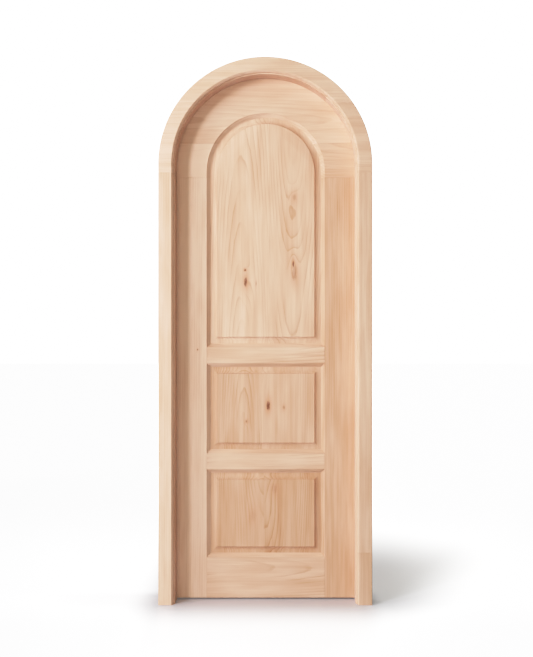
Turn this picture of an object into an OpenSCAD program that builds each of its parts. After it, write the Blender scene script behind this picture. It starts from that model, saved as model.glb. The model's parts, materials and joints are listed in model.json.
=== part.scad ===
// Round-topped frame-and-panel door, hung in a rabbeted jamb with a flat casing.
// Millimetres. X runs across the doorway, Y through it with the casing side at -Y,
// and Z is up. The origin is on the floor, under the middle of the whole door set.

/* [Leaf] */
// Width of the door leaf
leaf_w = 711.2; // [590:0.1:920]
// Height of the door leaf, from its bottom edge to the crown of its arch
leaf_h = 2032; // [1690:1:2440]
// Thickness of the door leaf
leaf_t = 44.5; // [40:0.5:58]
// Gap between the leaf and the floor
floor_gap = 6; // [3:0.5:15]
// Gap between the leaf's edge and the rabbet of the jamb
edge_gap = 3; // [2:0.1:5]

/* [Stiles and rails] */
// Width of each stile, moulding included
stile_w = 140; // [100:1:170]
// Width of the lock rail and of the middle rail, mouldings included
rail_w = 92.4; // [75:0.1:150]
// Width of the bottom rail, moulding included
bottom_rail_w = 172; // [100:1:260]
// Width of the arch rail at its crown, moulding included
crown_w = 158.7; // [130:0.1:200]
// Height of the middle of the lock rail above the floor
lock_rail_z = 950.5; // [780:0.5:1150]
// Height of the middle of the middle rail above the floor
mid_rail_z = 537.3; // [440:0.1:650]
// How far the arch rail reaches below the spring line of its panel
arch_rail_drop = 20.8; // [15:0.1:60]
// Width of the lower boards of the arch rail, up to the glue line
haunch_board_w = 133; // [100:1:150]

/* [Mouldings and panels] */
// Width of the moulding round each panel
stick_w = 14; // [12:0.5:20]
// Step down to each of the moulding's two curves
stick_step = 4.5; // [1:0.5:6]
// Flat fillet at the foot of each curve
stick_fillet = 1.2; // [0.5:0.1:2]
// Thickness of the moulding's lip over the edge of the panel
stick_lip = 1.8; // [1.2:0.1:3]
// Width of the groove that holds the panels
groove_w = 8; // [7:0.1:11]
// Clearance on each side of a panel's tongue in its groove
tongue_fit = 0.2; // [0.1:0.05:0.4]
// Room for the panel to swell at the bottom of its groove
swell_gap = 2.4; // [1:0.1:4]
// Thickness of a panel at its raised field
panel_t = 32; // [26:0.5:40]
// Width of the border between the moulding and the raised field
border_w = 25.3; // [20:0.1:45]
// Step down from the raised field to the border
field_step = 2.2; // [1:0.1:4]
// Flat land between the border's cove and the moulding
border_land = 1.9; // [1:0.1:4]
// Seam of the top panel's two boards, to the right of the middle
top_seam_x = 12; // [-60:1:60]
// Seam of the middle panel's two boards
middle_seam_x = -16; // [-60:1:60]
// Seam of the bottom panel's two boards
bottom_seam_x = -8; // [-60:1:60]

/* [Jamb] */
// Depth of the jamb through the wall
jamb_d = 116; // [95:1:190]
// Thickness of the jamb in front of its rabbet
jamb_t = 32; // [28:0.5:45]
// How far the leaf overlaps the stop shoulder of the jamb
rabbet_w = 12.5; // [8:0.5:14]
// Gap between the leaf's face and the stop shoulder
stop_gap = 0.5; // [0.3:0.1:3]
// Angle of the joints between the jamb's haunches and its crown
jamb_joint_a = 48; // [45:1:55]

/* [Casing] */
// Width of the flat casing
casing_w = 57; // [50:1:90]
// Thickness of the casing
casing_t = 19; // [15:0.5:25]
// Part of the jamb's edge left showing inside the casing
reveal = 5; // [3:0.5:8]
// Width of the slope on the casing's inner front edge
casing_slope_w = 7; // [3:0.5:10]
// Depth of the slope on the casing's inner front edge
casing_slope_d = 8; // [3:0.5:12]
// Chamfer on the casing's outer front edge
casing_chamfer = 1.6; // [0.5:0.1:4]
// How far the casing's arch boards reach below the spring line
casing_drop = 33.4; // [20:0.1:60]
// Width of the casing's lower arch boards, up to the glue line
casing_board_w = 267; // [200:1:300]
// Length of the piece joined on at the foot of the right casing leg
foot_h = 200; // [120:5:300]

/* [Hinges] */
// Height of a hinge
hinge_h = 102; // [89:1:127]
// Width of a hinge plate let into the wood
hinge_plate_w = 36; // [30:1:38]
// Thickness of a hinge plate
hinge_plate_t = 3.1; // [2.5:0.1:3.4]
// Corner radius of a hinge plate
hinge_corner_r = 6; // [3:0.5:12]
// Diameter of the hinge barrel
barrel_d = 13; // [12:0.5:15]
// Diameter of the hinge pin
pin_d = 5.5; // [5:0.1:7]
// Number of knuckles on a hinge
knuckles = 5; // [5:2:5]
// Height of the middle of the bottom hinge above the floor
hinge_low_z = 256; // [220:1:320]
// Drop from the spring line to the middle of the top hinge
hinge_top_drop = 180; // [140:1:260]

/* [Fasteners and dowels] */
// Diameter of the dowels in the leaf
leaf_dowel_d = 9.5; // [8:0.1:9.6]
// Length of the dowels in the leaf
leaf_dowel_l = 100; // [60:5:120]
// Length of the dowels across the glue line of the arch rail
arch_dowel_l = 70; // [50:5:80]
// Diameter of the dowels in the jamb
jamb_dowel_d = 10; // [8:0.5:12]
// Length of the dowels in the jamb
jamb_dowel_l = 60; // [40:5:70]
// Diameter of the dowels in the casing
casing_dowel_d = 8; // [6:0.5:9]
// Length of the dowels in the casing
casing_dowel_l = 40; // [30:2:50]
// Length of the finish nails that hold the casing
nail_l = 45; // [38:1:60]
// Number of finish nails in each casing leg
leg_nails = 6; // [4:1:8]
// Length of the screws in the leaf's hinge plates
leaf_screw_l = 30; // [20:1:40]
// Length of the screws in the jamb's hinge plates
jamb_screw_l = 18; // [15:1:19]

/* [Hidden] */

$fn = 96;
// How far a cut runs past the face it opens
skin = 1;
// Clearance round a dowel, nail or screw in its hole, and of a hinge plate in its recess
peg_fit = 0.05;
recess_fit = 0.1;
// Spare depth at each end of a dowel hole
dowel_end_room = 1;
// Radial clearance of a hinge pin, and the gap between knuckles
pin_fit = 0.08;
knuckle_gap = 0.3;
// Space between the hinge barrel and the back face, and between a barrel and a plate
barrel_back_gap = 0.5;
barrel_side_gap = 0.4;
// Heads of the hinge pins
pin_head_d = 9;
pin_head_h = 2.5;
// Hinge screws: shank, head, cross slot and their places on a plate
screw_d = 4.2;
screw_head_d = 8.2;
screw_head_h = 2.4;
screw_slot_w = 1.2;
screw_slot_l = 4.6;
screw_slot_depth = 1.4;
screw_stagger = 6;
screw_rows = [-0.38, -0.14, 0.14, 0.38];
// Finish nails
nail_d = 1.8;
nail_head_d = 2.8;
nail_head_h = 1.6;
nail_set = 2;
nail_first_z = 60;
nail_top_room = 100;
// Spacing of the dowels either side of their middle
rail_dowel_dz = 18;
bottom_dowel_dz = 48;
stile_dowel_dx = 33;
arch_dowel_dx = 30;
jamb_dowel_dy = 20;
casing_dowel_dx = 14;
casing_seam_dowel_dx = 9;

// Depths, front to back
barrel_r = barrel_d / 2;
total_d = casing_t + jamb_d + barrel_back_gap + barrel_d;
front_y = -total_d / 2;
jamb_front_y = front_y + casing_t;
back_y = jamb_front_y + jamb_d;
leaf_mid_y = back_y - leaf_t / 2;
shoulder_y = back_y - leaf_t - stop_gap;

// Leaf
leaf_r = leaf_w / 2;
leaf_top = floor_gap + leaf_h;
spring_z = leaf_top - leaf_r;
opening_r = leaf_r - stile_w + stick_w;
lip_r = opening_r - stick_w;
panel_spring_z = leaf_top - crown_w + stick_w - opening_r;
stile_top = panel_spring_z - arch_rail_drop;
arch_seam_z = stile_top + haunch_board_w;
rail_face = rail_w / 2 - stick_w;
bottom_opening = [floor_gap + bottom_rail_w - stick_w, mid_rail_z - rail_face];
middle_opening = [mid_rail_z + rail_face, lock_rail_z - rail_face];
top_opening = [lock_rail_z + rail_face, panel_spring_z + opening_r];

// Moulding and panel sections, measured from the leaf's middle plane
groove_half = groove_w / 2;
curve_w = stick_w / 2 - stick_fillet;
curve_h = (leaf_t / 2 - groove_half - stick_lip) / 2 - stick_step;
curve_chord = sqrt(curve_w * curve_w + curve_h * curve_h);
curve_r = 1.8 * curve_chord;
tongue_half = groove_half - tongue_fit;
field_half = panel_t / 2;
cove_top = field_half - field_step;
cove_w = border_w - border_land;
cove_drop = cove_top - tongue_half;
cove_r = (cove_w * cove_w + cove_drop * cove_drop) / (2 * cove_drop);

// Jamb and casing
rabbet_r = leaf_r + edge_gap;
jamb_in_r = rabbet_r - rabbet_w;
jamb_out_r = jamb_in_r + jamb_t;
casing_in_r = jamb_in_r + reveal;
casing_out_r = casing_in_r + casing_w;
casing_leg_top = spring_z - casing_drop;
casing_seam_z = casing_leg_top + casing_board_w;
casing_mid_r = (casing_in_r + casing_out_r) / 2;
// Angle just below the lowest corner of the casing's crown
crown_start_a = asin((casing_seam_z - spring_z) / casing_out_r) - 1;
casing_mid_y = front_y + casing_t / 2;
nail_r = (casing_in_r + jamb_out_r) / 2;
// Nails of the arch, the second and sixth clear of the dowels at the glue line
low_nail_a = asin((casing_seam_z - spring_z) / nail_r) - 10;
arch_nail_angles = [12, low_nail_a, 62, 90, 118, 180 - low_nail_a, 168];
jamb_dowel_r = (jamb_in_r + jamb_out_r) / 2;
jamb_dowel_y = (jamb_front_y + shoulder_y) / 2;

// Hinges
axis_x = leaf_r + edge_gap / 2;
axis_y = back_y + barrel_back_gap + barrel_r;
hinge_top_z = spring_z - hinge_top_drop;
hinge_middle_z = (hinge_top_z + hinge_low_z) / 2;
hinge_zs = [hinge_top_z, hinge_middle_z, hinge_low_z];
knuckle_pitch = hinge_h / knuckles;
plate_free_y = back_y - hinge_plate_w - axis_y;
plate_root_y = -barrel_r - barrel_side_gap;
plate_mid_y = (plate_free_y + back_y - axis_y) / 2;
jamb_knuckles = [0, 2, 4];
leaf_knuckles = [1, 3];

pale = "burlywood";
tan_wood = "tan";
warm = "wheat";
peg = "peru";
steel = "silver";

// Half the width of a circle of radius r at height dz above its middle
function chord(r, dz) = sqrt(max(0, r * r - dz * dz));

// ---------- shared helpers ----------

// Drawn as given for the right side, mirrored for the left
module on_side(side) {
    mirror([side < 0 ? 1 : 0, 0, 0]) children();
}

// A slab with a round head, in the XZ plane, centred on the plane y = 0
module round_head_2d(r, head_z, foot_z) {
    translate([0, head_z]) circle(r);
    translate([-r, foot_z]) square([2 * r, head_z - foot_z]);
}

// A rod along Z with its middle at the origin
module rod(d, l) {
    cylinder(d = d, h = l, center = true);
}

// ---------- mouldings and panel sections ----------

// A convex curve that falls from its outer corner (a, b) towards the opening
module curve_2d(a, b) {
    rise = sqrt(curve_r * curve_r - curve_chord * curve_chord / 4) / curve_chord;
    intersection() {
        translate([a - curve_w, b - curve_h]) square([curve_w, curve_h]);
        translate([a - curve_w / 2 + rise * curve_h, b - curve_h / 2 - rise * curve_w])
            circle(curve_r, $fn = 180);
    }
}

// Solid moulding along one edge of a panel opening, in the quarter a > 0, b > 0;
// a is measured across from the middle of the opening and b from the middle plane
module moulding_2d(half) {
    for (k = [0, 1]) {
        a = half - k * stick_w / 2;
        foot = leaf_t / 2 - (k + 1) * (stick_step + curve_h);
        translate([a - stick_w / 2, groove_half]) square([stick_w / 2, foot - groove_half]);
        curve_2d(a, foot + curve_h);
    }
}

// Empty space across a panel opening: the whole section less its four mouldings
module opening_2d(half) {
    difference() {
        square([2 * half, leaf_t + 2 * skin], center = true);
        for (a = [0, 1], b = [0, 1])
            mirror([a, 0]) mirror([0, b]) moulding_2d(half);
    }
}

// Section across a raised panel that fills an opening of the given half width
module panel_2d(half) {
    edge = half - swell_gap;
    cove_end = half - stick_w - border_land;
    field = cove_end - cove_w;
    square([2 * edge, 2 * tongue_half], center = true);
    square([2 * field, panel_t], center = true);
    difference() {
        square([2 * cove_end, 2 * cove_top], center = true);
        for (a = [-1, 1], b = [-1, 1])
            translate([a * cove_end, b * (tongue_half + cove_r)]) circle(cove_r, $fn = 180);
    }
}

// Sweeps a section along Z between two heights, its b axis along Y
module sweep_z(low, high) {
    translate([0, 0, low]) linear_extrude(high - low) children();
}

// Sweeps a section along X, its a axis up
module sweep_x(length) {
    rotate([0, -90, 0]) linear_extrude(length, center = true) children();
}

// Turns the a > 0 half of a section round a level axis, over the upper half turn
module turn_arch(reach) {
    rotate([90, 0, 0]) rotate_extrude(angle = 180, $fn = 180)
        intersection() {
            children();
            translate([0, -leaf_t]) square([reach, 2 * leaf_t]);
        }
}

// ---------- leaf ----------

module at_leaf() {
    translate([0, leaf_mid_y, 0]) children();
}

// The space of the arched opening, from the top of the stiles to the crown
module arched_opening() {
    translate([0, 0, panel_spring_z]) turn_arch(opening_r + skin) opening_2d(opening_r);
    sweep_z(stile_top - skin, panel_spring_z) opening_2d(opening_r);
}

module stile_blank() {
    sweep_z(floor_gap, stile_top)
        difference() {
            translate([lip_r, -leaf_t / 2]) square([leaf_r - lip_r, leaf_t]);
            opening_2d(opening_r);
        }
}

// Dowels between a rail and the stiles, at the given heights
module rail_dowels(heights, extra) {
    for (side = [-1, 1], z = heights)
        translate([side * opening_r, 0, z]) rotate([0, 90, 0])
            rod(leaf_dowel_d + 2 * (extra > 0 ? peg_fit : 0), leaf_dowel_l + 2 * extra);
}

lock_dowel_zs = [lock_rail_z - rail_dowel_dz, lock_rail_z + rail_dowel_dz];
middle_dowel_zs = [mid_rail_z - rail_dowel_dz, mid_rail_z + rail_dowel_dz];
bottom_mid_z = floor_gap + (bottom_rail_w - stick_w) / 2;
bottom_dowel_zs = [bottom_mid_z - bottom_dowel_dz, bottom_mid_z, bottom_mid_z + bottom_dowel_dz];

// Upright dowels of the arch rail: into the stiles, and across the crown's glue line
module arch_dowels(extra) {
    stile_x = (opening_r + leaf_r) / 2;
    seam_x = (chord(opening_r, arch_seam_z - panel_spring_z)
        + chord(leaf_r, arch_seam_z - spring_z)) / 2;
    d = leaf_dowel_d + 2 * (extra > 0 ? peg_fit : 0);
    for (side = [-1, 1], step = [-1, 1]) {
        translate([side * (stile_x + step * stile_dowel_dx), 0, stile_top])
            rod(d, leaf_dowel_l + 2 * extra);
        translate([side * (seam_x + step * arch_dowel_dx), 0, arch_seam_z])
            rod(d, arch_dowel_l + 2 * extra);
    }
}

module stile(side) {
    color(pale) at_leaf() difference() {
        on_side(side) stile_blank();
        rail_dowels(lock_dowel_zs, dowel_end_room);
        rail_dowels(middle_dowel_zs, dowel_end_room);
        rail_dowels(bottom_dowel_zs, dowel_end_room);
        arch_dowels(dowel_end_room);
        if (side > 0) translate([0, -leaf_mid_y, 0]) leaf_hinge_cuts();
    }
}

// A level rail between the stiles, with its ends coped over their mouldings
module rail(low, high, dowel_zs) {
    color(tan_wood) at_leaf() difference() {
        sweep_x(2 * opening_r) difference() {
            translate([low, -leaf_t / 2]) square([high - low, leaf_t]);
            for (o = [bottom_opening, middle_opening, top_opening])
                translate([(o[0] + o[1]) / 2, 0]) opening_2d((o[1] - o[0]) / 2);
        }
        for (side = [-1, 1]) on_side(side) stile_blank();
        rail_dowels(dowel_zs, dowel_end_room);
    }
}

// The part of the arch rail between two heights, for one side or for both
module arch_rail(low, high, left, right) {
    color(tan_wood) at_leaf() difference() {
        rotate([90, 0, 0]) linear_extrude(leaf_t, center = true) intersection() {
            round_head_2d(leaf_r, spring_z, stile_top);
            translate([left, low]) square([right - left, high - low]);
        }
        arched_opening();
        arch_dowels(dowel_end_room);
    }
}

module flat_panel(o) {
    half_z = (o[1] - o[0]) / 2;
    intersection() {
        sweep_z(o[0], o[1]) panel_2d(opening_r);
        translate([0, 0, (o[0] + o[1]) / 2]) sweep_x(leaf_w) panel_2d(half_z);
    }
}

module arched_panel(o) {
    height = o[1] - o[0];
    intersection() {
        union() {
            sweep_z(o[0], panel_spring_z) panel_2d(opening_r);
            translate([0, 0, panel_spring_z]) turn_arch(opening_r) panel_2d(opening_r);
        }
        translate([0, 0, o[1]]) sweep_x(leaf_w) panel_2d(height);
    }
}

// One board of a panel, on the given side of its seam
module board(o, seam_x, side) {
    color(warm) at_leaf() intersection() {
        children();
        translate([side > 0 ? seam_x : seam_x - leaf_w, -leaf_t, o[0]])
            cube([leaf_w, 2 * leaf_t, o[1] - o[0]]);
    }
}

// ---------- jamb ----------

// Section of the jamb: a across from the middle of the doorway, b along Y
module jamb_2d() {
    difference() {
        translate([jamb_in_r, jamb_front_y]) square([jamb_t, jamb_d]);
        translate([jamb_in_r - skin, shoulder_y])
            square([rabbet_w + skin, back_y - shoulder_y + skin]);
    }
}

// Turns a section round the arch's axis, from one angle above level to another
module arc(from, to) {
    translate([0, 0, spring_z]) rotate([90, 0, 0])
        rotate_extrude(start = from, angle = to - from, $fn = 180) mirror([0, 1]) children();
}

module jamb_dowel_set(extra) {
    d = jamb_dowel_d + 2 * (extra > 0 ? peg_fit : 0);
    for (a = [0, jamb_joint_a, 180 - jamb_joint_a, 180], step = [-1, 1])
        translate([0, jamb_dowel_y + step * jamb_dowel_dy, spring_z])
            rotate([0, -a, 0]) translate([jamb_dowel_r, 0, 0]) rod(d, jamb_dowel_l + 2 * extra);
}

module jamb_leg(side) {
    color(pale) difference() {
        on_side(side) linear_extrude(spring_z) jamb_2d();
        jamb_dowel_set(dowel_end_room);
        casing_nail_set(true);
        if (side > 0) jamb_hinge_cuts();
    }
}

module jamb_arc(from, to) {
    color(tan_wood) difference() {
        arc(from, to) jamb_2d();
        jamb_dowel_set(dowel_end_room);
        casing_nail_set(true);
    }
}

// ---------- casing ----------

module casing_2d() {
    difference() {
        translate([casing_in_r, front_y]) square([casing_w, casing_t]);
        translate([casing_in_r, front_y]) polygon([
            [-skin, -skin],
            [casing_slope_w * (1 + skin / casing_slope_d), -skin],
            [-skin, casing_slope_d * (1 + skin / casing_slope_w)],
        ]);
        translate([casing_out_r, front_y]) rotate(45)
            square(casing_chamfer * sqrt(2), center = true);
    }
}

module casing_cuts() {
    casing_dowel_set(dowel_end_room);
    casing_nail_set(true);
}

module casing_dowel_set(extra) {
    seam_dz = casing_seam_z - spring_z;
    seam_x = (chord(casing_in_r, seam_dz) + chord(casing_out_r, seam_dz)) / 2;
    d = casing_dowel_d + 2 * (extra > 0 ? peg_fit : 0);
    l = casing_dowel_l + 2 * extra;
    for (side = [-1, 1], step = [-1, 1]) {
        translate([side * (casing_mid_r + step * casing_dowel_dx), casing_mid_y, casing_leg_top])
            rod(d, l);
        translate([side * (seam_x + step * casing_seam_dowel_dx), casing_mid_y, casing_seam_z])
            rod(d, l);
    }
    for (step = [-1, 1])
        translate([casing_mid_r + step * casing_dowel_dx, casing_mid_y, foot_h]) rod(d, l);
}

// A finish nail driven along +Y, its head set below the casing's face
module nail(fit) {
    rotate([-90, 0, 0]) translate([0, 0, nail_set]) {
        cylinder(d = nail_d + 2 * fit, h = nail_l + fit);
        translate([0, 0, -fit]) cylinder(d = nail_head_d + 2 * fit, h = nail_head_h + 2 * fit);
    }
}

module casing_nail_set(hole) {
    fit = hole ? peg_fit : 0;
    nail_dz = (casing_leg_top - nail_top_room - nail_first_z) / (leg_nails - 1);
    for (side = [-1, 1], i = [0 : leg_nails - 1])
        translate([side * nail_r, front_y, nail_first_z + i * nail_dz]) nail(fit);
    for (a = arch_nail_angles)
        translate([nail_r * cos(a), front_y, spring_z + nail_r * sin(a)]) nail(fit);
}

module casing_straight(side, low, high) {
    color(pale) difference() {
        on_side(side) sweep_z(low, high) casing_2d();
        casing_cuts();
    }
}

module casing_haunch(side) {
    color(tan_wood) difference() {
        on_side(side) union() {
            sweep_z(casing_leg_top, spring_z) casing_2d();
            intersection() {
                arc(0, 90) casing_2d();
                translate([0, front_y - skin, spring_z])
                    cube([casing_out_r + skin, casing_t + 2 * skin, casing_seam_z - spring_z]);
            }
        }
        casing_cuts();
    }
}

module casing_crown() {
    color(tan_wood) difference() {
        intersection() {
            arc(crown_start_a, 180 - crown_start_a) casing_2d();
            translate([-casing_out_r, front_y - skin, casing_seam_z])
                cube([2 * casing_out_r, casing_t + 2 * skin, casing_out_r]);
        }
        casing_cuts();
    }
}

// ---------- hinges ----------

// Outline of a plate let into the wood: a along Y from the pin's axis, b along Z
module plate_2d(root_y, fit) {
    r = hinge_corner_r + fit;
    low_y = plate_free_y - fit;
    half_z = hinge_h / 2 + fit;
    translate([low_y + r, -half_z]) square([root_y - low_y - r, 2 * half_z]);
    translate([low_y, -half_z + r]) square([r + skin, 2 * (half_z - r)]);
    for (step = [-1, 1])
        translate([low_y + r, step * (half_z - r)]) circle(r);
}

// Stands a YZ outline up at x, thick towards +X
module upright_plate(x, thick) {
    translate([x, 0, 0]) rotate([90, 0, 90]) linear_extrude(thick) children();
}

module screw_places() {
    for (i = [0 : len(screw_rows) - 1])
        translate([0, plate_mid_y + (i % 2 == 0 ? -1 : 1) * screw_stagger, screw_rows[i] * hinge_h])
            children();
}

// A countersunk screw lying along +X, its head flush with x = 0
module screw_form(length, fit) {
    rotate([0, 90, 0]) {
        cylinder(d1 = screw_head_d + 2 * fit, d2 = screw_d + 2 * fit, h = screw_head_h);
        cylinder(d = screw_d + 2 * fit, h = length + fit);
    }
}

module screw(length) {
    difference() {
        screw_form(length, 0);
        for (turn = [0, 90]) rotate([turn, 0, 0])
            cube([2 * screw_slot_depth, screw_slot_w, screw_slot_l], center = true);
    }
}

// Half a hinge, as fixed to the jamb: plate, its own knuckles, and webs between them
module hinge_half(own) {
    color(steel) difference() {
        union() {
            upright_plate(edge_gap / 2, hinge_plate_t) plate_2d(plate_root_y, 0);
            for (k = own) translate([0, 0, k * knuckle_pitch - hinge_h / 2 + knuckle_gap / 2]) {
                cylinder(r = barrel_r, h = knuckle_pitch - knuckle_gap);
                translate([edge_gap / 2, plate_root_y - skin, 0])
                    cube([hinge_plate_t, -plate_root_y + skin, knuckle_pitch - knuckle_gap]);
            }
        }
        rod(pin_d + 2 * pin_fit, hinge_h + 2 * skin);
        screw_places() translate([edge_gap / 2, 0, 0]) screw_form(hinge_h, peg_fit);
    }
}

module at_hinge(z) {
    translate([axis_x, axis_y, z]) children();
}

module hinge_pin(z) {
    color(steel) at_hinge(z) {
        rod(pin_d, hinge_h);
        for (step = [-1, 1]) translate([0, 0, step * (hinge_h + pin_head_h - knuckle_gap) / 2])
            rod(pin_head_d, pin_head_h);
    }
}

// Recess and screw holes for one plate, on the jamb's side of the gap
module plate_cuts(length) {
    upright_plate(edge_gap / 2 - skin, hinge_plate_t + skin)
        plate_2d(back_y - axis_y + skin, recess_fit);
    screw_places() translate([edge_gap / 2, 0, 0]) screw_form(length, peg_fit);
}

module jamb_hinge_cuts() {
    for (z = hinge_zs) at_hinge(z) plate_cuts(jamb_screw_l);
}

module leaf_hinge_cuts() {
    for (z = hinge_zs) at_hinge(z) mirror([1, 0, 0]) plate_cuts(leaf_screw_l);
}

module screw_set(length) {
    color(steel) screw_places() translate([edge_gap / 2, 0, 0]) screw(length);
}

// ---------- sub-parts ----------

module jamb_leg_left() { jamb_leg(-1); }
module jamb_leg_right() { jamb_leg(1); }
module jamb_haunch_left() { jamb_arc(180 - jamb_joint_a, 180); }
module jamb_haunch_right() { jamb_arc(0, jamb_joint_a); }
module jamb_crown() { jamb_arc(jamb_joint_a, 180 - jamb_joint_a); }
module jamb_dowels() { color(peg) jamb_dowel_set(0); }

module casing_leg_left() { casing_straight(-1, 0, casing_leg_top); }
module casing_leg_right() { casing_straight(1, foot_h, casing_leg_top); }
module casing_foot_right() { casing_straight(1, 0, foot_h); }
module casing_haunch_left() { casing_haunch(-1); }
module casing_haunch_right() { casing_haunch(1); }
module casing_dowels() { color(peg) casing_dowel_set(0); }
module casing_nails() { color(steel) casing_nail_set(false); }

module hinge_top_jamb_plate() { at_hinge(hinge_top_z) hinge_half(jamb_knuckles); }
module hinge_middle_jamb_plate() { at_hinge(hinge_middle_z) hinge_half(jamb_knuckles); }
module hinge_bottom_jamb_plate() { at_hinge(hinge_low_z) hinge_half(jamb_knuckles); }
module hinge_top_pin() { hinge_pin(hinge_top_z); }
module hinge_middle_pin() { hinge_pin(hinge_middle_z); }
module hinge_bottom_pin() { hinge_pin(hinge_low_z); }
module hinge_jamb_screws() { for (z = hinge_zs) at_hinge(z) screw_set(jamb_screw_l); }

module leaf_hinge_half(z) { at_hinge(z) mirror([1, 0, 0]) hinge_half(leaf_knuckles); }
module hinge_top_leaf_plate() { leaf_hinge_half(hinge_top_z); }
module hinge_middle_leaf_plate() { leaf_hinge_half(hinge_middle_z); }
module hinge_bottom_leaf_plate() { leaf_hinge_half(hinge_low_z); }
module hinge_leaf_screws() {
    for (z = hinge_zs) at_hinge(z) mirror([1, 0, 0]) screw_set(leaf_screw_l);
}

module stile_left() { stile(-1); }
module stile_right() { stile(1); }
module arch_rail_haunch_left() { arch_rail(stile_top, arch_seam_z, -leaf_r, 0); }
module arch_rail_haunch_right() { arch_rail(stile_top, arch_seam_z, 0, leaf_r); }
module arch_rail_crown() { arch_rail(arch_seam_z, leaf_top, -leaf_r, leaf_r); }
module lock_rail() { rail(lock_rail_z - rail_w / 2, lock_rail_z + rail_w / 2, lock_dowel_zs); }
module middle_rail() { rail(mid_rail_z - rail_w / 2, mid_rail_z + rail_w / 2, middle_dowel_zs); }
module bottom_rail() { rail(floor_gap, floor_gap + bottom_rail_w, bottom_dowel_zs); }

module top_panel_board(side) {
    board(top_opening, top_seam_x, side) arched_panel(top_opening);
}
module middle_panel_board(side) {
    board(middle_opening, middle_seam_x, side) flat_panel(middle_opening);
}
module bottom_panel_board(side) {
    board(bottom_opening, bottom_seam_x, side) flat_panel(bottom_opening);
}
module arch_rail_dowels() { color(peg) at_leaf() arch_dowels(0); }
module lock_rail_dowels() { color(peg) at_leaf() rail_dowels(lock_dowel_zs, 0); }
module middle_rail_dowels() { color(peg) at_leaf() rail_dowels(middle_dowel_zs, 0); }
module bottom_rail_dowels() { color(peg) at_leaf() rail_dowels(bottom_dowel_zs, 0); }

jamb_leg_left();
jamb_leg_right();
jamb_haunch_left();
jamb_haunch_right();
jamb_crown();
jamb_dowels();
casing_leg_left();
casing_leg_right();
casing_foot_right();
casing_haunch_left();
casing_haunch_right();
casing_crown();
casing_dowels();
casing_nails();
hinge_top_jamb_plate();
hinge_middle_jamb_plate();
hinge_bottom_jamb_plate();
hinge_top_pin();
hinge_middle_pin();
hinge_bottom_pin();
hinge_jamb_screws();
hinge_top_leaf_plate();
hinge_middle_leaf_plate();
hinge_bottom_leaf_plate();
hinge_leaf_screws();
stile_left();
stile_right();
arch_rail_haunch_left();
arch_rail_haunch_right();
arch_rail_crown();
lock_rail();
middle_rail();
bottom_rail();
top_panel_board(-1);  // top_panel_left_board
top_panel_board(1);  // top_panel_right_board
middle_panel_board(-1);  // middle_panel_left_board
middle_panel_board(1);  // middle_panel_right_board
bottom_panel_board(-1);  // bottom_panel_left_board
bottom_panel_board(1);  // bottom_panel_right_board
arch_rail_dowels();
lock_rail_dowels();
middle_rail_dowels();
bottom_rail_dowels();
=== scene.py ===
"""A round-topped door set in raw alder: eased boards, steel hinges and a plain studio.

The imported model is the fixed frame. Every board that shows is a welded copy of its CAD
node with its arrises eased, and has its own cut of alder. Lengths in tables are
millimetres; Blender's own units are metres.
"""

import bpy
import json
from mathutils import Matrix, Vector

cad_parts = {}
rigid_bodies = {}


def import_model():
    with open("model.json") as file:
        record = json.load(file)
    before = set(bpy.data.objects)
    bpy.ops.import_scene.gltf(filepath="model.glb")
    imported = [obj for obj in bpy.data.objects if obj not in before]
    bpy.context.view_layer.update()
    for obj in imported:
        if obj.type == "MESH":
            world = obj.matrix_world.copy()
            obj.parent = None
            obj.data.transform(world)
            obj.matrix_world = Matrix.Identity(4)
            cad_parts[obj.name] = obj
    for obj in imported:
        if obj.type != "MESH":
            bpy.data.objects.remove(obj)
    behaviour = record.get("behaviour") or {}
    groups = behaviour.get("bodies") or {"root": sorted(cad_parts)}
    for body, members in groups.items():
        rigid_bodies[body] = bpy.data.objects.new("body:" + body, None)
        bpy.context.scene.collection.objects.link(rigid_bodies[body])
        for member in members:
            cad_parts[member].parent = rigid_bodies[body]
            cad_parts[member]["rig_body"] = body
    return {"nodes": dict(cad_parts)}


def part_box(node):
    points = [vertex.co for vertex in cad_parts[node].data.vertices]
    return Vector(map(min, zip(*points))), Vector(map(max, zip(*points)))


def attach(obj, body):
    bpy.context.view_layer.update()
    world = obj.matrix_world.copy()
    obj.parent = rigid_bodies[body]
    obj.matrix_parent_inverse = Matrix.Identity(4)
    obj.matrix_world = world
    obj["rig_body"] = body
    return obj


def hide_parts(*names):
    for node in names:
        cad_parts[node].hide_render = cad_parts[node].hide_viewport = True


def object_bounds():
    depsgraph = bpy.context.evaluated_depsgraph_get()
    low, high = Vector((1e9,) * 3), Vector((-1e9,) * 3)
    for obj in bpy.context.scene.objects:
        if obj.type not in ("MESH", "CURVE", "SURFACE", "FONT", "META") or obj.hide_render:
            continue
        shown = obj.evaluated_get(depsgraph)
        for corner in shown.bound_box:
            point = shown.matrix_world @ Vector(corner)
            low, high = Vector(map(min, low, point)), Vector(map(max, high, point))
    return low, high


bl_info = {
    "name": "Arched Alder Door",
    "version": (1, 0, 0),
    "blender": (4, 5, 0),
    "location": "View3D > Sidebar > Door",
    "description": "Raw alder boards, steel hinges and a studio for a round-topped door set",
    "category": "Object",
}

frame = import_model()

import json
import math
from collections import namedtuple

import bmesh
import bpy
from mathutils import Vector

MM = 0.001
CAD_BOX = [list(corner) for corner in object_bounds()]

# A knot or swirl: its middle across and along the grain from the board's middle, the
# size of its core, how many rings it pushes aside, and how dark its core is.
Knot = namedtuple("Knot", "across along wide long push dark")

# A board: its CAD node, the way its grain runs, the place of the log's heart across and
# behind its face, how that heart drifts along the board, the width of a year's growth,
# a number that picks its own noise, how deep and how pink it is, its knots, and how
# strongly its growth lines show. How deep a board is holds painted light and shade as
# well as its own tone.
Board = namedtuple("Board", "node grain heart drift ring seed depth blush knots figure",
                   defaults=((), 1.0))

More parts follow.
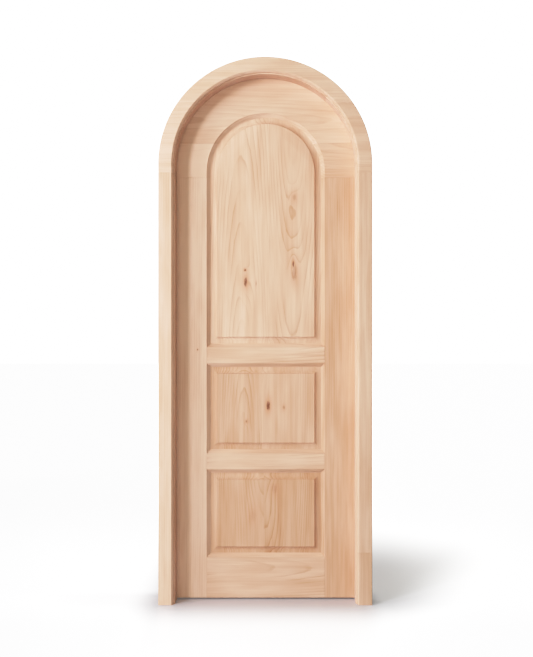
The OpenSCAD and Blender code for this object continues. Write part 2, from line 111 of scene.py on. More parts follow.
# Painted light and shade in the depths below: boards whose faces catch the lamps from the left
# are made paler, such as the right jamb leg's reveal, the left stile and the left arch haunch.
# Boards to the right and low on the leaf are made deeper, where the light falls off. The rest
# of each board's depth is its own tone.
JAMB = [
    Board("jamb_leg_left", "Z", (210, 150), 0.01, 7, 1.3, 0.30, 0.2, figure=0.5),
    Board("jamb_leg_right", "Z", (-190, 160), -0.01, 7, 2.1, -0.22, 0.0, figure=0.5),
    Board("jamb_haunch_left", "X", (120, 90), 0.03, 8, 3.7, 0.30, 0.2, figure=0.5),
    Board("jamb_haunch_right", "X", (-120, 90), 0.02, 8, 4.4, 0.05, 0.1, figure=0.5),
    Board("jamb_crown", "X", (150, 110), 0.02, 8, 5.2, 0.30, 0.3, figure=0.5),
]
CASING = [
    Board("casing_leg_left", "Z", (170, 120), 0.008, 8, 6.1, 0.1, 0.05, figure=0.5),
    Board("casing_leg_right", "Z", (-160, 130), -0.008, 8, 7.5, 0.2, 0.1, figure=0.5),
    Board("casing_foot_right", "Z", (60, 60), 0.03, 7, 8.2, 0.28, 0.2, figure=0.5),
    Board("casing_haunch_left", "X", (150, 90), 0.03, 8, 9.6, 0.05, 0.2, figure=0.5),
    Board("casing_haunch_right", "X", (140, 80), -0.03, 8, 10.3, 0.18, 0.15, figure=0.5),
    Board("casing_crown", "X", (-120, 70), 0.02, 8, 11.8, 0.08, 0.2, figure=0.5),
]
STILES = [
    Board("stile_left", "Z", (230, 140), 0.012, 8, 12.4, -0.02, 0.15,
          (Knot(20, 148, 2.5, 3, 0.3, 0.6),), figure=0.6),
    Board("stile_right", "Z", (-220, 150), -0.012, 8, 13.9, 0.42, 0.04, figure=0.55),
]
RAILS = [
    Board("lock_rail", "X", (60, 110), 0.05, 8, 14.2, 0.15, 0.2),
    Board("middle_rail", "X", (-50, 120), -0.05, 8, 15.7, 0.15, 0.2),
    Board("bottom_rail", "X", (30, 90), 0.06, 9, 16.1, 0.2, 0.2),
    Board("arch_rail_haunch_left", "X", (80, 100), 0.05, 9, 17.6, -0.18, 0.2, figure=0.55),
    Board("arch_rail_haunch_right", "X", (70, 100), -0.05, 9, 18.3, 0.32, 0.2, figure=0.55),
    Board("arch_rail_crown", "X", (-40, 80), 0.04, 10, 19.5, 0.12, 0.25, figure=0.55),
]
PANELS = [
    Board("top_panel_left_board", "Z", (11, 83.3), 0.07, 9, 20.7, 0.12, 0.25,
          (Knot(27, -155, 4, 5, 0.6, 1.0),
           Knot(29, -201, 7, 22, 1.4, 0.75),
           Knot(70, -207, 1.5, 12, 0.3, 0.4))),
    Board("top_panel_right_board", "Z", (-14, 80), -0.08, 9, 21.1, 0.16, 0.3,
          (Knot(-12, -131, 4, 16, 1.2, 0.7),
           Knot(-8, -165, 12, 36, 1.6, 0.25),
           Knot(-8, 130, 8, 14, 1.2, 0.2))),
    Board("middle_panel_left_board", "Z", (35, 56), 0.08, 8, 22.8, 0.42, 0.25,
          (Knot(46, -52, 4, 6, 0.5, 0.45),)),
    Board("middle_panel_right_board", "Z", (-150, 90), -0.03, 9, 23.2, 0.34, 0.3,
          (Knot(-96, 9, 8, 21, 1.2, 0.8),
           Knot(-35, 3, 5, 9, 0.8, 0.3)), 0.7),
    Board("bottom_panel_left_board", "Z", (105, 66), -0.07, 8, 24.6, 0.44, 0.25,
          (Knot(70, -10, 14, 30, 0.8, 0.08),)),
    Board("bottom_panel_right_board", "Z", (-112, 80), -0.1, 8, 25.9, 0.5, 0.3,
          (Knot(-77, 94, 12, 24, 1.0, 0.1),)),
]
HINGE_NODES = [
    f"hinge_{place}_{part}"
    for place in ("top", "middle", "bottom")
    for part in ("jamb_plate", "leaf_plate", "pin")
]
SCREW_NODES = ["hinge_jamb_screws", "hinge_leaf_screws"]
DOWEL_NODES = ["jamb_dowels", "casing_dowels", "arch_rail_dowels", "lock_rail_dowels",
               "middle_rail_dowels", "bottom_rail_dowels"]

# Vertices nearer than this are one, and faces that turn less than this are one flat.
WELD = 0.002 * MM
FLAT = math.radians(0.05)
# Edges that turn more than this are arrises, eased over this share of a narrow step.
ARRIS_ANGLE = math.radians(30)
STEP_SHARE = 0.35
# Edges this near a panel's glue line lie in it.
SEAM_REACH = 0.01 * MM

# How far a log's rings wander across, into and along a board, in millimetres.
LOG_SWAY = (10, 4, 0)
# How uneven a year's growth is, and how dark it is from its spring to its autumn.
YEAR_JITTER = 0.35
YEAR_TONES = ((0.4, 0.06), (0.78, 0.4), (0.9, 1.0), (0.96, 0.8))
# How strongly the growth lines show, and the tone taken off for the finer patterns.
LINE_SHARE = 0.36
PATTERN_TONE = 0.23

# A lamp: its place, the point it is turned to, how wide and tall it is, its colour and
# the setting that holds its power.
Lamp = namedtuple("Lamp", "name place aim size colour power")
LAMPS = [
    Lamp("key_light", (-2.35, -3.05, 2.2), (0.0, 0.0, 1.2), (0.6, 1.1),
         (0.93, 0.96, 1.0), "key_power"),
    Lamp("side_light", (-3.0, -1.7, 1.7), (0.0, 0.0, 1.1), (1.2, 1.6),
         (0.93, 0.96, 1.0), "side_power"),
    Lamp("front_light", (-0.3, -4.2, 1.3), (0.0, 0.0, 1.1), (1.6, 1.6),
         (1.0, 0.96, 0.72), "front_power"),
    Lamp("back_light", (-2.4, 3.0, 1.4), (0.0, 0.0, 1.1), (1.6, 1.6),
         (1.0, 0.98, 0.94), "back_power"),
]
# The room's light: its warm fill, and the way from which most of it comes.
ROOM_FILL = (1.0, 0.95, 0.7)
ROOM_WAY = (-1.0, -0.5, 0.2)
# The film's response, from light to what is shown, and the brightest light it takes.
FILM = ((0.18, 0.145), (0.44, 0.43), (0.7, 0.69), (1.0, 0.86), (1.4, 0.97))
FILM_BRIGHTEST = 2.0
# The camera's shift to the side and up, as shares of its sensor.
LENS_SHIFT = (-0.034, 0.0058)


def linear(code):
    """The linear colour of an sRGB hex code such as #d8b48c."""
    parts = [int(code[i:i + 2], 16) / 255 for i in (1, 3, 5)]
    return tuple(c / 12.92 if c <= 0.04045 else ((c + 0.055) / 1.055) ** 2.4 for c in parts)


class AlderLook(bpy.types.PropertyGroup):
    """Colours and surface of the raw alder."""

    earlywood: bpy.props.FloatVectorProperty(
        name="Earlywood", description="Pale wood between the growth lines",
        subtype="COLOR", size=3, min=0, max=1, default=linear("#e9cab9"))
    latewood: bpy.props.FloatVectorProperty(
        name="Latewood", description="Tan wood of the growth lines",
        subtype="COLOR", size=3, min=0, max=1, default=linear("#b88b6a"))
    blush: bpy.props.FloatVectorProperty(
        name="Blush", description="Pink-brown cast that alder takes in air",
        subtype="COLOR", size=3, min=0, max=1, default=linear("#dba98a"))
    knot: bpy.props.FloatVectorProperty(
        name="Knot", description="Red-brown heart of a knot",
        subtype="COLOR", size=3, min=0, max=1, default=linear("#6b3a20"))
    halo: bpy.props.FloatVectorProperty(
        name="Knot halo", description="Warmer wood round a knot",
        subtype="COLOR", size=3, min=0, max=1, default=linear("#c07a50"))
    roughness: bpy.props.FloatProperty(
        name="Roughness", description="Roughness of sanded, unfinished wood",
        subtype="FACTOR", min=0, max=1, default=0.62)
    arris: bpy.props.FloatProperty(
        name="Arris", description="Width to which sandpaper has eased the arrises",
        subtype="DISTANCE", min=0, max=0.003, default=0.0008)


class HingeLook(bpy.types.PropertyGroup):
    """Finish of the hinges and fixings."""

    steel: bpy.props.FloatVectorProperty(
        name="Steel", description="Satin stainless steel",
        subtype="COLOR", size=3, min=0, max=1, default=linear("#b9b6b0"))
    roughness: bpy.props.FloatProperty(
        name="Roughness", description="Roughness of the brushed steel",
        subtype="FACTOR", min=0, max=1, default=0.32)
    arris: bpy.props.FloatProperty(
        name="Arris", description="Width of the tumbled edges",
        subtype="DISTANCE", min=0, max=0.001, default=0.0003)
    beech: bpy.props.FloatVectorProperty(
        name="Dowel beech", description="Raw beech of the dowels",
        subtype="COLOR", size=3, min=0, max=1, default=linear("#c9a074"))


class StudioLook(bpy.types.PropertyGroup):
    """Camera, lights and floor."""

    eye_height: bpy.props.FloatProperty(
        name="Eye height", description="Height of the camera above the floor",
        subtype="DISTANCE", unit="LENGTH", min=0.2, max=3, default=1.04)
    eye_side: bpy.props.FloatProperty(
        name="Eye side", description="How far the camera stands right of the middle",
        subtype="DISTANCE", unit="LENGTH", min=-1, max=1, default=0.09)
    stand_off: bpy.props.FloatProperty(
        name="Stand-off", description="Distance from the camera to the casing's face",
        subtype="DISTANCE", unit="LENGTH", min=1, max=20, default=3.914)
    lens: bpy.props.FloatProperty(
        name="Lens", description="Focal length in millimetres on a 36 mm sensor",
        unit="CAMERA", min=20, max=200, default=56.3)
    key_power: bpy.props.FloatProperty(
        name="Key power", description="Power of the key light",
        unit="POWER", min=0, max=5000, default=78)
    side_power: bpy.props.FloatProperty(
        name="Side power", description="Power of the light that rakes in from the left",
        unit="POWER", min=0, max=5000, default=53)
    front_power: bpy.props.FloatProperty(
        name="Front power", description="Power of the light that fills the shadows",
        unit="POWER", min=0, max=5000, default=38)
    back_power: bpy.props.FloatProperty(
        name="Back power", description="Power of the light on the back of the door",
        unit="POWER", min=0, max=5000, default=62)
    sky: bpy.props.FloatProperty(
        name="Sky", description="Strength of the white room's own light",
        subtype="UNSIGNED", min=0, max=3, default=0.21)
    lean: bpy.props.FloatProperty(
        name="Lean", description="How much more of the room's light comes from the left",
        subtype="FACTOR", min=0, max=1, default=1.0)


# ---------- nodes and materials ----------

def add(tree, kind, sockets=None, **settings):
    """Adds a node, sets it up, and links or sets its inputs by name or number. A node
    given for an input stands for its first output, and a colour needs no alpha."""
    node = tree.nodes.new("ShaderNode" + kind)
    for name, value in settings.items():
        setattr(node, name, value)
    for name, value in (sockets or {}).items():
        socket = node.inputs[name]
        if isinstance(value, bpy.types.Node):
            tree.links.new(value.outputs[0], socket)
        elif isinstance(value, bpy.types.NodeSocket):
            tree.links.new(value, socket)
        elif socket.type == "RGBA":
            socket.default_value = (*value, 1.0)
        else:
            socket.default_value = value
    return node


def new_material(name):
    """An empty material with its shader and output."""
    material = bpy.data.materials.new(name)
    material.use_nodes = True
    tree = material.node_tree
    tree.nodes.clear()
    shader = add(tree, "BsdfPrincipled")
    add(tree, "OutputMaterial", {"Surface": shader})
    return material, tree, shader


def millimetres(tree):
    """Millimetres from the piece's own origin."""
    place = add(tree, "TexCoord").outputs["Object"]
    return add(tree, "VectorMath", {0: place, 1: (1 / MM, 1 / MM, 1 / MM)},
               operation="MULTIPLY")


def board_coordinates(tree, node, grain):
    """Millimetres across, into and along a board, from its middle."""
    low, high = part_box(node)
    middle = (low + high) / 2
    place = add(tree, "TexCoord").outputs["Object"]
    axes = add(tree, "SeparateXYZ", {0: place}).outputs
    order = (0, 1, 2) if grain == "Z" else (2, 1, 0)
    parts = [
        add(tree, "Math", {0: axes[i], 1: 1 / MM, 2: -middle[i] / MM},
            operation="MULTIPLY_ADD")
        for i in order
    ]
    return add(tree, "CombineXYZ", dict(enumerate(parts)))


def cloudy(tree, place, size, seed, detail=2.0, roughness=0.5):
    """Random variation whose clouds are size = (across, into, along) millimetres."""
    scaled = add(tree, "VectorMath", {0: place, 1: tuple(1 / s for s in size)},
                 operation="MULTIPLY")
    return add(tree, "TexNoise",
               {"Vector": scaled, "W": seed, "Scale": 1.0, "Detail": detail,
                "Roughness": roughness}, noise_dimensions="4D")


def knot_distance(tree, place, knot):
    """Squared distance from a knot's middle, in knot sizes, on the board's face."""
    offset = add(tree, "VectorMath", {0: place, 1: (knot.across, 0, knot.along)},
                 operation="SUBTRACT")
    scaled = add(tree, "VectorMath", {0: offset, 1: (1 / knot.wide, 0, 1 / knot.long)},
                 operation="MULTIPLY")
    return add(tree, "VectorMath", {0: scaled, 1: scaled},
               operation="DOT_PRODUCT").outputs["Value"]


def fall_off(tree, squared, reach):
    """A bell that is 1 at the middle and fades over reach."""
    power = add(tree, "Math", {0: squared, 1: -1 / (reach * reach)}, operation="MULTIPLY")
    return add(tree, "Math", {0: power}, operation="EXPONENT")


def alder(board, look):
    """Planed and sanded alder, unfinished: a pale tan wood with a pink cast, quiet growth
    lines that rise to pointed arches on flat-sawn faces, fine silky fibre and small
    red-brown knots that the lines part around."""
    material, tree, shader = new_material("sanded_alder_" + board.node)
    place = board_coordinates(tree, board.node, board.grain)

    # The log was never quite straight, so its rings wander.
    sway = cloudy(tree, place, (95, 95, 520), board.seed, detail=2.5).outputs["Color"]
    sway = add(tree, "VectorMath", {0: sway, 1: (0.5, 0.5, 0.5)}, operation="SUBTRACT")
    warped = add(tree, "VectorMath", {0: sway, 1: LOG_SWAY, 2: place},
                 operation="MULTIPLY_ADD")

    # Distance from the heart of the log, in years of growth.
    axes = add(tree, "SeparateXYZ", {0: warped}).outputs
    beside = add(tree, "Math", {0: axes[0], 1: board.heart[0]}, operation="SUBTRACT")
    drifted = add(tree, "Math", {0: axes[2], 1: board.drift, 2: board.heart[1]},
                  operation="MULTIPLY_ADD")
    behind = add(tree, "Math", {0: drifted, 1: axes[1]}, operation="ADD")
    from_heart = add(tree, "CombineXYZ", {0: beside, 1: behind})
    radius = add(tree, "VectorMath", {0: from_heart}, operation="LENGTH").outputs["Value"]
    years = add(tree, "Math", {0: radius, 1: board.ring}, operation="DIVIDE")

    # Each knot pushes the growth lines aside, and has a torn dark core and a warm halo.
    core_mask = halo_mask = 0.0
    ragged = cloudy(tree, place, (5, 5, 12), board.seed + 3.3)
    for knot in board.knots:
        squared = knot_distance(tree, place, knot)
        years = add(tree, "Math", {0: fall_off(tree, squared, 3.2), 1: knot.push, 2: years},
                    operation="MULTIPLY_ADD")
        torn = add(tree, "Math", {0: ragged, 1: 1.6, 2: squared}, operation="MULTIPLY_ADD")
        core = add(tree, "MapRange", {0: torn, 1: 1.9, 2: 0.7, 4: knot.dark},
                   interpolation_type="SMOOTHSTEP")
        core_mask = add(tree, "Math", {0: core_mask, 1: core}, operation="MAXIMUM")
        halo = add(tree, "Math", {0: fall_off(tree, squared, 1.7), 1: 0.25 + 0.6 * knot.dark},
                   operation="MULTIPLY")
        halo_mask = add(tree, "Math", {0: halo_mask, 1: halo}, operation="MAXIMUM")

    jitter = cloudy(tree, place, (14, 14, 60), board.seed + 1.7, detail=3.0)
    years = add(tree, "Math", {0: jitter, 1: YEAR_JITTER, 2: years},
                operation="MULTIPLY_ADD")
    in_year = add(tree, "Math", {0: years}, operation="FRACT")
    growth = add(tree, "ValToRGB", {0: in_year})
    ramp = growth.color_ramp
    ramp.elements[0].color = (0.0, 0.0, 0.0, 1.0)
    ramp.elements[1].color = (0.0, 0.0, 0.0, 1.0)
    for position, tone in YEAR_TONES:
        ramp.elements.new(position).color = (tone, tone, tone, 1.0)

    # Growth lines fade in and out along the board.
    fade = cloudy(tree, place, (60, 60, 330), board.seed + 5.1, detail=1.0)
    fade = add(tree, "MapRange", {0: fade, 1: 0.42, 2: 0.6, 3: 0.08, 4: 1.0},
               interpolation_type="SMOOTHSTEP")
    line = add(tree, "Math", {0: growth, 1: fade}, operation="MULTIPLY")

    # Real fibre and pores are about a tenth of a millimetre wide; they are drawn coarser,
    # so that they show.
    fibre = cloudy(tree, warped, (1.6, 1.6, 120), board.seed + 7.9, 4.0, 0.65)
    streak = cloudy(tree, warped, (12, 12, 340), board.seed + 9.2, 3.0, 0.6)
    cloud = cloudy(tree, place, (45, 45, 240), board.seed + 13.0)
    pores = cloudy(tree, warped, (0.45, 0.45, 7), board.seed + 11.4, detail=1.0)

    # How much latewood shows: the growth lines and the board's depth, which holds painted
    # light and shade as well as its own tone, then each finer pattern and its share.
    tone = add(tree, "Math",
               {0: line, 1: LINE_SHARE * board.figure, 2: board.depth - PATTERN_TONE},
               operation="MULTIPLY_ADD")
    for pattern, low, high, share in ((fibre, 0.25, 0.75, 0.13), (streak, 0.3, 0.7, 0.2),
                                      (pores, 0.6, 0.75, 0.1), (cloud, 0.3, 0.7, 0.2)):
        shade = add(tree, "MapRange", {0: pattern, 1: low, 2: high, 4: share},
                    interpolation_type="SMOOTHSTEP")
        tone = add(tree, "Math", {0: tone, 1: shade}, operation="ADD")
    colour = add(tree, "Mix", {"Factor": tone, 6: look.earlywood, 7: look.latewood},
                 data_type="RGBA").outputs[2]

    blush = add(tree, "MapRange",
                {0: cloud, 1: 0.35, 2: 0.65, 3: 0.1 * board.blush, 4: 0.5 * board.blush},
                interpolation_type="SMOOTHSTEP")
    colour = add(tree, "Mix", {"Factor": blush, 6: colour, 7: look.blush},
                 data_type="RGBA").outputs[2]
    if board.knots:
        warmth = add(tree, "Math", {0: halo_mask, 1: 0.7}, operation="MULTIPLY")
        colour = add(tree, "Mix", {"Factor": warmth, 6: colour, 7: look.halo},
                     data_type="RGBA").outputs[2]
        colour = add(tree, "Mix", {"Factor": core_mask, 6: colour, 7: look.knot},
                     data_type="RGBA").outputs[2]

    hollows = add(tree, "Math", {0: pores, 1: -0.5}, operation="MULTIPLY")
    height = add(tree, "Math", {0: fibre, 1: 0.7, 2: hollows}, operation="MULTIPLY_ADD")
    bump = add(tree, "Bump", {"Strength": 0.35, "Distance": 0.12 * MM, "Height": height})
    tree.links.new(colour, shader.inputs["Base Color"])
    tree.links.new(bump.outputs["Normal"], shader.inputs["Normal"])
    shader.inputs["Roughness"].default_value = look.roughness
    shader.inputs["Specular IOR Level"].default_value = 0.32
    return material


def satin_steel(name, colour, roughness, grit):
    """Brushed stainless steel: grey, with fine lines along Z that catch the light. Grit
    is the lines' width in millimetres, drawn coarser than real ones so that they show."""
    material, tree, shader = new_material(name)
    place = millimetres(tree)
    lines = cloudy(tree, place, (grit, grit, 40 * grit), 1.0)
    smudge = cloudy(tree, place, (9, 9, 14), 2.0)
    rough = add(tree, "MapRange",
                {0: smudge, 1: 0.3, 2: 0.7, 3: roughness - 0.05, 4: roughness + 0.08},
                interpolation_type="SMOOTHSTEP")
    shade = add(tree, "Math", {0: lines, 1: 0.35}, operation="MULTIPLY")
    tint = add(tree, "Mix", {"Factor": shade, 6: colour, 7: tuple(0.62 * c for c in colour)},
               data_type="RGBA").outputs[2]
    bump = add(tree, "Bump", {"Strength": 0.25, "Distance": 0.02 * MM, "Height": lines})
    tree.links.new(tint, shader.inputs["Base Color"])
    tree.links.new(rough.outputs["Result"], shader.inputs["Roughness"])
    tree.links.new(bump.outputs["Normal"], shader.inputs["Normal"])
    shader.inputs["Metallic"].default_value = 1.0
    return material


def raw_beech(name, colour):
    """Turned beech dowel: even tan wood with small darker flecks."""
    material, tree, shader = new_material(name)
    flecks = cloudy(tree, millimetres(tree), (0.8, 0.8, 0.8), 4.0, detail=3.0)
    shade = add(tree, "Math", {0: flecks, 1: 0.5}, operation="MULTIPLY")
    tint = add(tree, "Mix", {"Factor": shade, 6: colour, 7: tuple(0.6 * c for c in colour)},
               data_type="RGBA").outputs[2]
    tree.links.new(tint, shader.inputs["Base Color"])
    shader.inputs["Roughness"].default_value = 0.7
    return material


# ---------- pieces ----------

def welded_mesh(node):
    """A copy of a CAD node's mesh with its loose triangles welded and its flats whole."""
    bm = bmesh.new()
    bm.from_mesh(frame["nodes"][node].data)
    bmesh.ops.remove_doubles(bm, verts=bm.verts, dist=WELD)
    bmesh.ops.dissolve_limit(bm, angle_limit=FLAT, verts=bm.verts,
                             edges=bm.edges, use_dissolve_boundaries=False)
    return bm


def reach(face, edge):
    """How far a face runs from one of its edges: the width of a strip, or near enough."""
    if len(face.verts) > 4:
        return 2 * face.calc_area() / face.calc_perimeter()
    start, end = (v.co for v in edge.verts)
    along = (end - start).normalized()
    return max((v.co - start - along * (v.co - start).dot(along)).length for v in face.verts)


def eased_piece(node, arris, seam=None):
    """A piece that stands for a CAD node, with its arrises eased as sandpaper eases them:
    not in hollows, not along a glued seam, and less on the edges of narrow steps."""
    bm = welded_mesh(node)
    weight = bm.edges.layers.float.new("bevel_weight_edge")
    for edge in bm.edges:
        sharp = edge.is_convex and edge.calc_face_angle() > ARRIS_ANGLE
        glued = seam is not None and all(abs(v.co.x - seam) < SEAM_REACH for v in edge.verts)
        if sharp and not glued:
            room = STEP_SHARE * min(reach(face, edge) for face in edge.link_faces)
            edge[weight] = min(1.0, room / arris)
    mesh = bpy.data.meshes.new("eased_" + node)
    bm.to_mesh(mesh)
    bm.free()
    mesh.shade_smooth()
    mesh.set_sharp_from_angle(angle=ARRIS_ANGLE)
    piece = bpy.data.objects.new("eased_" + node, mesh)
    bpy.context.scene.collection.objects.link(piece)
    bevel = piece.modifiers.new("eased_arrises", "BEVEL")
    bevel.limit_method = "WEIGHT"
    bevel.width = arris
    bevel.segments = 2
    bevel.use_clamp_overlap = False
    bevel.loop_slide = seam is not None
    bevel.harden_normals = True
    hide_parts(node)
    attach(piece, frame["nodes"][node]["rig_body"])
    return piece


def cut_boards(context, boards):
    """Makes and finishes the boards of one group."""
    look = context.scene.alder_look
    for board in boards:
        seam = None
        if board.node.endswith("left_board"):
            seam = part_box(board.node)[1].x
        elif board.node.endswith("right_board"):
            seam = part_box(board.node)[0].x
        piece = eased_piece(board.node, look.arris, seam)
        piece.data.materials.append(alder(board, look))


def place_lamp(lamp, power):
    """A soft light turned to its aim and unseen by the camera."""
    data = bpy.data.lights.new(lamp.name, "AREA")
    data.shape = "RECTANGLE"
    data.size, data.size_y = lamp.size
    data.energy = power
    data.color = lamp.colour
    light = bpy.data.objects.new(lamp.name, data)
    light.location = lamp.place
    turn = (Vector(lamp.aim) - Vector(lamp.place)).to_track_quat("-Z", "Y")
    light.rotation_euler = turn.to_euler()
    light.visible_camera = False
    bpy.context.scene.collection.objects.link(light)


class DOOR_OT_jamb(bpy.types.Operator):
    """Cut and finish the five boards of the jamb"""

    bl_idname = "door.jamb"
    bl_label = "Jamb"

    def execute(self, context):
        cut_boards(context, JAMB)
        return {"FINISHED"}


class DOOR_OT_casing(bpy.types.Operator):
    """Cut and finish the boards of the casing"""

    bl_idname = "door.casing"
    bl_label = "Casing"

    def execute(self, context):
        cut_boards(context, CASING)
        return {"FINISHED"}


class DOOR_OT_stiles(bpy.types.Operator):
    """Cut and finish the stiles of the leaf"""

    bl_idname = "door.stiles"
    bl_label = "Stiles"

    def execute(self, context):
        cut_boards(context, STILES)
        return {"FINISHED"}


class DOOR_OT_rails(bpy.types.Operator):
    """Cut and finish the level rails and the arch rail of the leaf"""

    bl_idname = "door.rails"
    bl_label = "Rails"

    def execute(self, context):
        cut_boards(context, RAILS)
        return {"FINISHED"}


class DOOR_OT_panels(bpy.types.Operator):
    """Cut and finish the six boards of the raised panels"""

    bl_idname = "door.panels"
    bl_label = "Panels"

    def execute(self, context):
        cut_boards(context, PANELS)
        return {"FINISHED"}


class DOOR_OT_hinges(bpy.types.Operator):
    """Finish the hinges, their pins and their screws"""

    bl_idname = "door.hinges"
    bl_label = "Hinges"

    def execute(self, context):
        look = context.scene.hinge_look
        steel = satin_steel("satin_steel_hinge", tuple(look.steel), look.roughness, 0.25)
        screw_steel = satin_steel("satin_steel_screw", tuple(look.steel), look.roughness, 0.15)
        for node in HINGE_NODES + SCREW_NODES:
            piece = eased_piece(node, look.arris)
            piece.data.materials.append(screw_steel if node in SCREW_NODES else steel)
        return {"FINISHED"}


class DOOR_OT_fixings(bpy.types.Operator):
    """Finish the dowels and finish nails inside the joints"""

    bl_idname = "door.fixings"
    bl_label = "Dowels and nails"

    def execute(self, context):
        look = context.scene.hinge_look
        beech = raw_beech("raw_beech_dowel", tuple(look.beech))
        nail = satin_steel("bright_wire_nail", tuple(look.steel), look.roughness, 0.1)
        for node in DOWEL_NODES + ["casing_nails"]:
            materials = frame["nodes"][node].data.materials
            materials.clear()
            materials.append(nail if node == "casing_nails" else beech)
        return {"FINISHED"}


class DOOR_OT_studio(bpy.types.Operator):
    """Build the pale floor, the white room, the lights and the camera"""

    bl_idname = "door.studio"
    bl_label = "Studio"

    def execute(self, context):
        look = context.scene.studio_look
        self.floor()
        self.room(context.scene, look)
        for lamp in LAMPS:
            place_lamp(lamp, getattr(look, lamp.power))
        self.camera(context.scene, look)
        self.film(context.scene.view_settings)
        return {"FINISHED"}

    def floor(self):
        """A wide floor of satin white board, with painted light on it."""
        bm = bmesh.new()
        bmesh.ops.create_grid(bm, x_segments=1, y_segments=1, size=30)
        mesh = bpy.data.meshes.new("studio_floor")
        bm.to_mesh(mesh)
        bm.free()
        floor = bpy.data.objects.new("studio_floor", mesh)
        bpy.context.scene.collection.objects.link(floor)
        mesh.materials.append(self.floor_with_painted_light())

    def floor_with_painted_light(self):
        """Satin white board with painted light. The lamps cast the door's shadow on it, and a
        painted glow that only the camera sees shapes that shadow into a wedge behind the
        right foot, lifts it to a pale grey, and burns the floor out to white past it."""
        material, tree, shader = new_material("satin_white_floor")
        place = add(tree, "TexCoord").outputs["Object"]
        speck = add(tree, "TexNoise", {"Vector": place, "Scale": 3.0})
        tint = add(tree, "Mix",
                   {"Factor": speck, 6: linear("#cac8d4"), 7: linear("#c7c5d0")},
                   data_type="RGBA").outputs[2]
        tree.links.new(tint, shader.inputs["Base Color"])
        shader.inputs["Roughness"].default_value = 0.35
        shader.inputs["Emission Color"].default_value = (1.0, 1.0, 1.0, 1.0)

        side, depth, _ = add(tree, "SeparateXYZ", {0: place}).outputs
        # How far out from a line that slants back from the right foot: the painted edge of the
        # door's shadow.
        past = add(tree, "VectorMath", {0: place, 1: (0.92, -0.38, 0.0)},
                   operation="DOT_PRODUCT").outputs["Value"]
        scaled = add(tree, "VectorMath", {0: place, 1: (0.62, 1.5, 0.0)}, operation="MULTIPLY")
        away = add(tree, "VectorMath", {0: scaled, 1: (0.0, 0.12, 0.0)},
                   operation="DISTANCE").outputs["Value"]
        # Painted light: a pale lift of the floor behind the leaf and between the feet.
        between = add(tree, "MapRange", {0: side, 1: 0.46, 2: 0.36, 4: 0.3},
                      interpolation_type="SMOOTHSTEP")
        behind = add(tree, "MapRange", {0: depth, 1: 0.06, 2: 0.16},
                     interpolation_type="SMOOTHSTEP")
        painted_glow = add(tree, "Math", {0: between, 1: behind}, operation="MULTIPLY")
        # Each painted glow: what it goes by, where it starts, where it is full, and its
        # strength. Together they paint the floor's light round the door's shadow: white in
        # front, to the left, far behind and past the slanting line, and a pale lift in the
        # wedge between.
        for measure, start, full, strength in (
                (past, 0.40, 0.85, 1.0), (depth, -0.01, -0.42, 1.0), (depth, 0.6, 2.4, 1.0),
                (side, -0.38, -0.56, 1.0), (side, 0.36, 0.46, 0.3), (side, 0.46, 1.0, 0.55),
                (away, 0.7, 3.0, 1.0)):
            share = add(tree, "MapRange", {0: measure, 1: start, 2: full, 4: strength},
                        interpolation_type="SMOOTHSTEP")
            painted_glow = add(tree, "Math", {0: painted_glow, 1: share}, operation="ADD")
        # Painted light: the glow is shown to the camera only, and a faint glow of 0.06 that
        # every ray sees makes the floor shine on the door, though the floor is no lamp.
        seen = add(tree, "LightPath").outputs["Is Camera Ray"]
        painted_glow = add(tree, "Math", {0: painted_glow, 1: seen, 2: 0.06}, operation="MULTIPLY_ADD")
        tree.links.new(painted_glow.outputs[0], shader.inputs["Emission Strength"])
        return material

    def room(self, scene, look):
        """White all round to the camera; its light on the door comes mostly from the left."""
        world = bpy.data.worlds.new("white_room")
        world.use_nodes = True
        tree = world.node_tree
        tree.nodes.clear()
        seen = add(tree, "LightPath").outputs["Is Camera Ray"]
        way = add(tree, "TexCoord").outputs["Generated"]
        side = add(tree, "VectorMath", {0: way, 1: ROOM_WAY},
                   operation="DOT_PRODUCT").outputs["Value"]
        strength = add(tree, "Math", {0: side, 1: look.lean * look.sky, 2: look.sky},
                       operation="MULTIPLY_ADD")
        strength = add(tree, "Math", {0: strength, 1: 0.0}, operation="MAXIMUM")
        fill = add(tree, "Background", {"Color": ROOM_FILL, "Strength": strength})
        white = add(tree, "Background", {"Color": (1.0, 1.0, 1.0), "Strength": 2.0})
        both = add(tree, "MixShader", {0: seen, 1: fill, 2: white})
        add(tree, "OutputWorld", {"Surface": both})
        scene.world = world

    def film(self, view):
        """A film's response: deeper shadows, and lights that roll off towards white."""
        view.view_transform = "Standard"
        view.look = "None"
        view.use_curve_mapping = True
        mapping = view.curve_mapping
        mapping.white_level = (FILM_BRIGHTEST, FILM_BRIGHTEST, FILM_BRIGHTEST)
        curve = mapping.curves[3]
        curve.points[0].location = (0.0, 0.0)
        curve.points[1].location = (1.0, 1.0)
        for light, shown in FILM:
            curve.points.new(light / FILM_BRIGHTEST, shown)
        mapping.update()

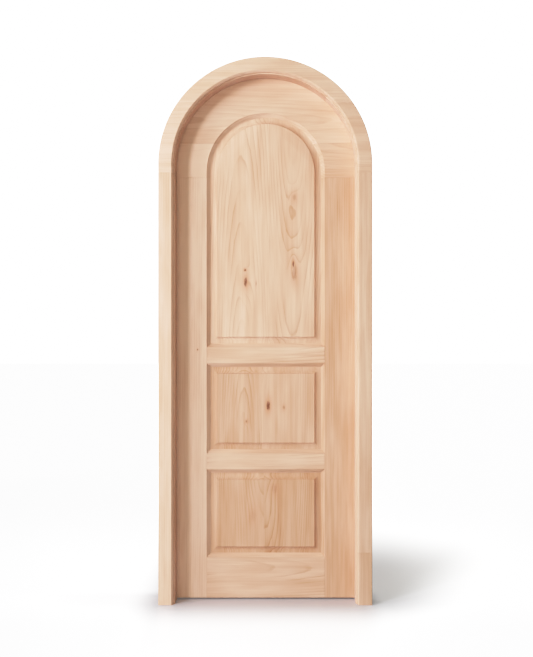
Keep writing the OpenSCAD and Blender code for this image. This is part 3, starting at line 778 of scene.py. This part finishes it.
    def camera(self, scene, look):
        """Level camera a little right of the middle, shifted to frame the whole door."""
        data = bpy.data.cameras.new("camera")
        data.lens = look.lens
        data.sensor_width = 36
        data.shift_x, data.shift_y = LENS_SHIFT
        camera = bpy.data.objects.new("camera", data)
        face_y = CAD_BOX[0][1]
        camera.location = (look.eye_side, face_y - look.stand_off, look.eye_height)
        camera.rotation_euler = (math.radians(90), 0, 0)
        scene.collection.objects.link(camera)
        scene.camera = camera


class DOOR_PT_sidebar(bpy.types.Panel):
    """Lists the door's pieces and their settings"""

    bl_idname = "DOOR_PT_sidebar"
    bl_label = "Arched Door"
    bl_space_type = "VIEW_3D"
    bl_region_type = "UI"
    bl_category = "Door"

    def draw(self, context):
        for operator in OPERATORS:
            self.layout.operator(operator.bl_idname)
        for group in LOOKS:
            settings = getattr(context.scene, group)
            for name in settings.bl_rna.properties.keys():
                if name not in ("rna_type", "name"):
                    self.layout.prop(settings, name)


OPERATORS = [DOOR_OT_jamb, DOOR_OT_casing, DOOR_OT_stiles, DOOR_OT_rails, DOOR_OT_panels,
             DOOR_OT_hinges, DOOR_OT_fixings, DOOR_OT_studio]
LOOKS = {"alder_look": AlderLook, "hinge_look": HingeLook, "studio_look": StudioLook}


def register():
    for group in LOOKS.values():
        bpy.utils.register_class(group)
    for name, group in LOOKS.items():
        setattr(bpy.types.Scene, name, bpy.props.PointerProperty(type=group))
    for operator in OPERATORS:
        bpy.utils.register_class(operator)
    bpy.utils.register_class(DOOR_PT_sidebar)


def unregister():
    bpy.utils.unregister_class(DOOR_PT_sidebar)
    for operator in reversed(OPERATORS):
        bpy.utils.unregister_class(operator)
    for name, group in LOOKS.items():
        delattr(bpy.types.Scene, name)
        bpy.utils.unregister_class(group)


def main():
    register()
    bpy.ops.door.jamb()
    bpy.ops.door.casing()
    bpy.ops.door.stiles()
    bpy.ops.door.rails()
    bpy.ops.door.panels()
    bpy.ops.door.hinges()
    bpy.ops.door.fixings()
    bpy.ops.door.studio()


if __name__ == "__main__":
    main()
